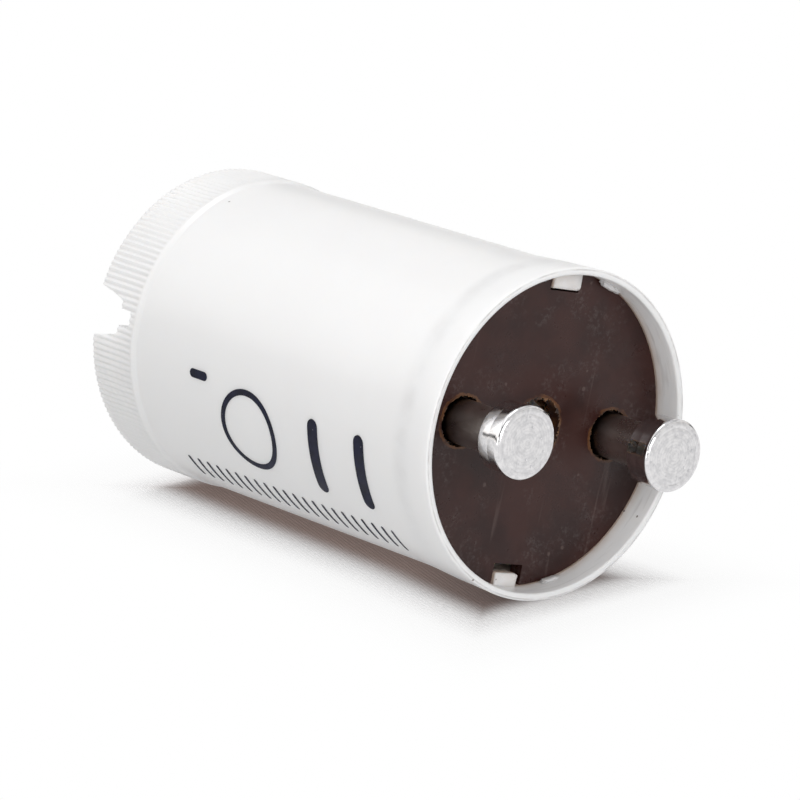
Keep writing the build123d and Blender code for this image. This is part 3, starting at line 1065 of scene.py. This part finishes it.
def makeCamera():
    azimuth, elevation = math.radians(photoView["azimuth"]), math.radians(photoView["elevation"])
    level = math.cos(elevation)
    outward = Vector((math.sin(azimuth) * level, -math.cos(azimuth) * level, math.sin(elevation)))
    levelRight = Vector((0, 0, 1)).cross(outward).normalized()
    levelUp = outward.cross(levelRight)
    roll = math.radians(photoView["roll"])
    right = math.cos(roll) * levelRight + math.sin(roll) * levelUp
    up = outward.cross(right)
    turned = Matrix((right, up, outward)).transposed().to_4x4()
    lens = bpy.data.cameras.new("photoCamera")
    lens.lens = photoView["lens"]
    lens.sensor_width = photoView["sensorWidth"]
    lens.clip_start = photoView["clipStart"]
    camera = addObject("photoCamera", lens)
    aim = Vector(photoView["aim"]) * mm
    camera.matrix_world = Matrix.Translation(aim + outward * photoView["distance"] * mm) @ turned
    bpy.context.scene.camera = camera
    return aim, right, up, outward


aim, right, up, outward = makeCamera()

# Studio: the part lies on a pale cloth, turned a little about its axis, under soft lights in a white room.
# The cloth shades off into white past a strip under the part
studio = {
    "clothSize": 3000.0,
    "clothGap": 0.02,
    "clothTilt": 14.75,
    "clothColour": (0.93, 0.915, 0.92),
    "clothRoughness": 0.95,
    "clothLight": 0.5,
    "weave": 0.36,
    "weaveTurn": 0.5,
    "weaveBump": 0.08,
    "weaveStrength": 0.5,
    "shadeColour": (0.37, 0.27, 0.24),
    "shadeStart": -0.5,
    "mouthShade": (0.20, 0.145, 0.13),
    "mouthShadeFrom": 22.0,
    "mouthWiden": 0.9,
    "stripHalf": 3.8,
    "stripEnds": (1.5, 33.4),
    "fadeNear": 5.0,
    "fadeFar": 12.0,
    "farShare": 0.14,
    "roomWhite": 1.0,
    "roomLight": 0.90,
    "softShare": 0.62,
    "roomBands": (  # place from below to above, red and blue
        (0.0, 0.9, 0.84), (0.03, 0.9, 0.84), (0.05, 0.05, 0.05), (0.145, 0.05, 0.05), (0.18, 1.0, 0.94),
        (0.58, 1.0, 1.0), (0.65, 0.6, 0.6), (0.70, 0.6, 0.6), (0.78, 1.0, 1.0), (1.0, 0.9, 0.9),
    ),
    "backBoost": 0.8,
    "backLift": 0.3,
    "backRange": (0.70, 0.86),
    "cameraShade": 0.93,
    "cameraRange": (0.78, 0.92),
    "lamps": {  # place to the right, upwards and towards the camera, size and power
        "overheadLight": (-30, 270, 30, 130, 0.21),
        "keyLight": (90, 10, 250, 120, 0.33),
        "fillLight": (-140, -56, 223, 120, 0.15),
    },
}
tilt = math.radians(studio["clothTilt"])
clothUp = Vector((math.sin(tilt), -math.cos(tilt), 0))
clothSide = Vector((math.cos(tilt), math.sin(tilt), 0))
bodyAxis = Vector((0, 0, 1))


# The cloth's diffuse colour holds a painted shadow under the part, and beyond it an even white; it is clear
# from behind
def makeClothMaterial():
    material, tree, surface = newSurface("whiteCloth")
    where = objectVector(tree)
    z = splitVector(where)[2]
    threads = []
    for turn in (studio["weaveTurn"], studio["weaveTurn"] + math.pi / 2):
        across = alongNode(where, clothSide * math.cos(turn) + bodyAxis * math.sin(turn))
        threads.append(sine(multiply(across, tau / (studio["weave"] * mm))))
    addBump(surface, multiply(*threads), studio["weaveBump"], studio["weaveStrength"])

    nearMouth = rampMask(z, 0, (studio["mouthShadeFrom"], bodyTop))
    stripHalf = multiplyAdd(nearMouth, studio["mouthWiden"] * mm, studio["stripHalf"] * mm)
    pastSide = subtract(absolute(alongNode(where, clothSide)), stripHalf)
    low, high = [end * mm for end in studio["stripEnds"]]
    pastEnd = larger(subtract(low, z), subtract(z, high))
    past = larger(pastSide, pastEnd)
    fadeNear, farShare = studio["fadeNear"], studio["farShare"]
    near = rampMask(past, 0, (0, fadeNear), 0.0, 1 - farShare)
    far = rampMask(past, 0, (fadeNear / 2, studio["fadeFar"]), 0.0, farShare)
    shaded = rampMask(past, 0, (studio["shadeStart"], fadeNear / 2))
    # Painted shadow in the cloth's colour under the part, darker near the mouth
    shade = mixColour(nearMouth, studio["shadeColour"], studio["mouthShade"])
    colour = mixColour(shaded, shade, studio["clothColour"])
    feed(surface, {"Base Color": colour, "Roughness": studio["clothRoughness"]})

    diffuse = addNode(tree, "ShaderNodeLightPath").outputs["Is Diffuse Ray"]
    strength = multiplyAdd(diffuse, studio["clothLight"] - 1, 1.0)
    glow = addNode(tree, "ShaderNodeEmission", {"Strength": strength})
    whiter = larger(add(near, far), diffuse)
    front = mixShader(whiter, surface.outputs[0], glow.outputs[0])
    clear = addNode(tree, "ShaderNodeBsdfTransparent").outputs[0]
    behind = addNode(tree, "ShaderNodeNewGeometry").outputs["Backfacing"]
    both = mixShader(behind, front, clear)
    feed(tree.nodes["Material Output"], {"Surface": both})
    return material


def makeCloth():
    half = studio["clothSize"] / 2
    middle = bodyAxis * bodyTop / 2 - clothUp * (rimRadius + studio["clothGap"])
    corners = [middle + half * (over * clothSide + along * bodyAxis)
               for over, along in ((-1, -1), (1, -1), (1, 1), (-1, 1))]
    cloth = addMesh("cloth", corners, [(0, 1, 2, 3)])
    cloth.data.materials.append(makeClothMaterial())


# A square lamp that faces the part
def addSoftLight(name, sideways, upwards, near, size, power):
    light = bpy.data.lights.new(name, "AREA")
    light.shape = "RECTANGLE"
    light.size = light.size_y = size * mm
    light.energy = power
    place = aim + (right * sideways + up * upwards + outward * near) * mm
    facing = (place - aim).to_track_quat("Z", "Y").to_matrix().to_4x4()
    addObject(name, light).matrix_world = Matrix.Translation(place) @ facing


# White room: bands of light from below to above, brighter behind the part and dark round the camera
def makeRoom():
    world = bpy.data.worlds.new("whiteRoom")
    world.use_nodes = True
    tree = world.node_tree
    tree.nodes.clear()
    where = addNode(tree, "ShaderNodeTexCoord").outputs["Generated"]
    bands = addNode(tree, "ShaderNodeValToRGB", {"Fac": alongNode(where, clothUp)})
    ramp = bands.color_ramp
    while len(ramp.elements) < len(studio["roomBands"]):
        ramp.elements.new(0.5)
    for element, (place, red, blue) in zip(ramp.elements, studio["roomBands"]):
        element.position = place
        element.color = (red, (red + blue) / 2, blue, 1)

    def towards(direction, reach):
        return rangeNode(alongNode(where, direction.normalized()), *reach)

    mirrored = outward - 2 * outward.z * bodyAxis
    behind = towards(mirrored + studio["backLift"] * clothUp, studio["backRange"])
    boost = multiplyAdd(behind, studio["backBoost"], 1.0)
    shade = multiplyAdd(towards(outward, studio["cameraRange"]), -studio["cameraShade"], 1.0)
    ray = addNode(tree, "ShaderNodeLightPath").outputs
    dim = multiplyAdd(ray["Is Diffuse Ray"], studio["softShare"] - 1.0, 1.0)
    level = multiply(multiply(multiply(boost, shade), studio["roomLight"]), dim)
    light = addNode(tree, "ShaderNodeBackground", {"Strength": level, "Color": bands.outputs["Color"]})
    white = addNode(tree, "ShaderNodeBackground", {"Strength": studio["roomWhite"]})
    seen = mixShader(ray["Is Camera Ray"], light.outputs[0], white.outputs[0])
    addNode(tree, "ShaderNodeOutputWorld", {"Surface": seen})
    bpy.context.scene.world = world


makeCloth()
for lampName, lamp in studio["lamps"].items():
    addSoftLight(lampName, *lamp)
makeRoom()
bpy.context.scene.view_settings.view_transform = "Standard"
print("studio made")
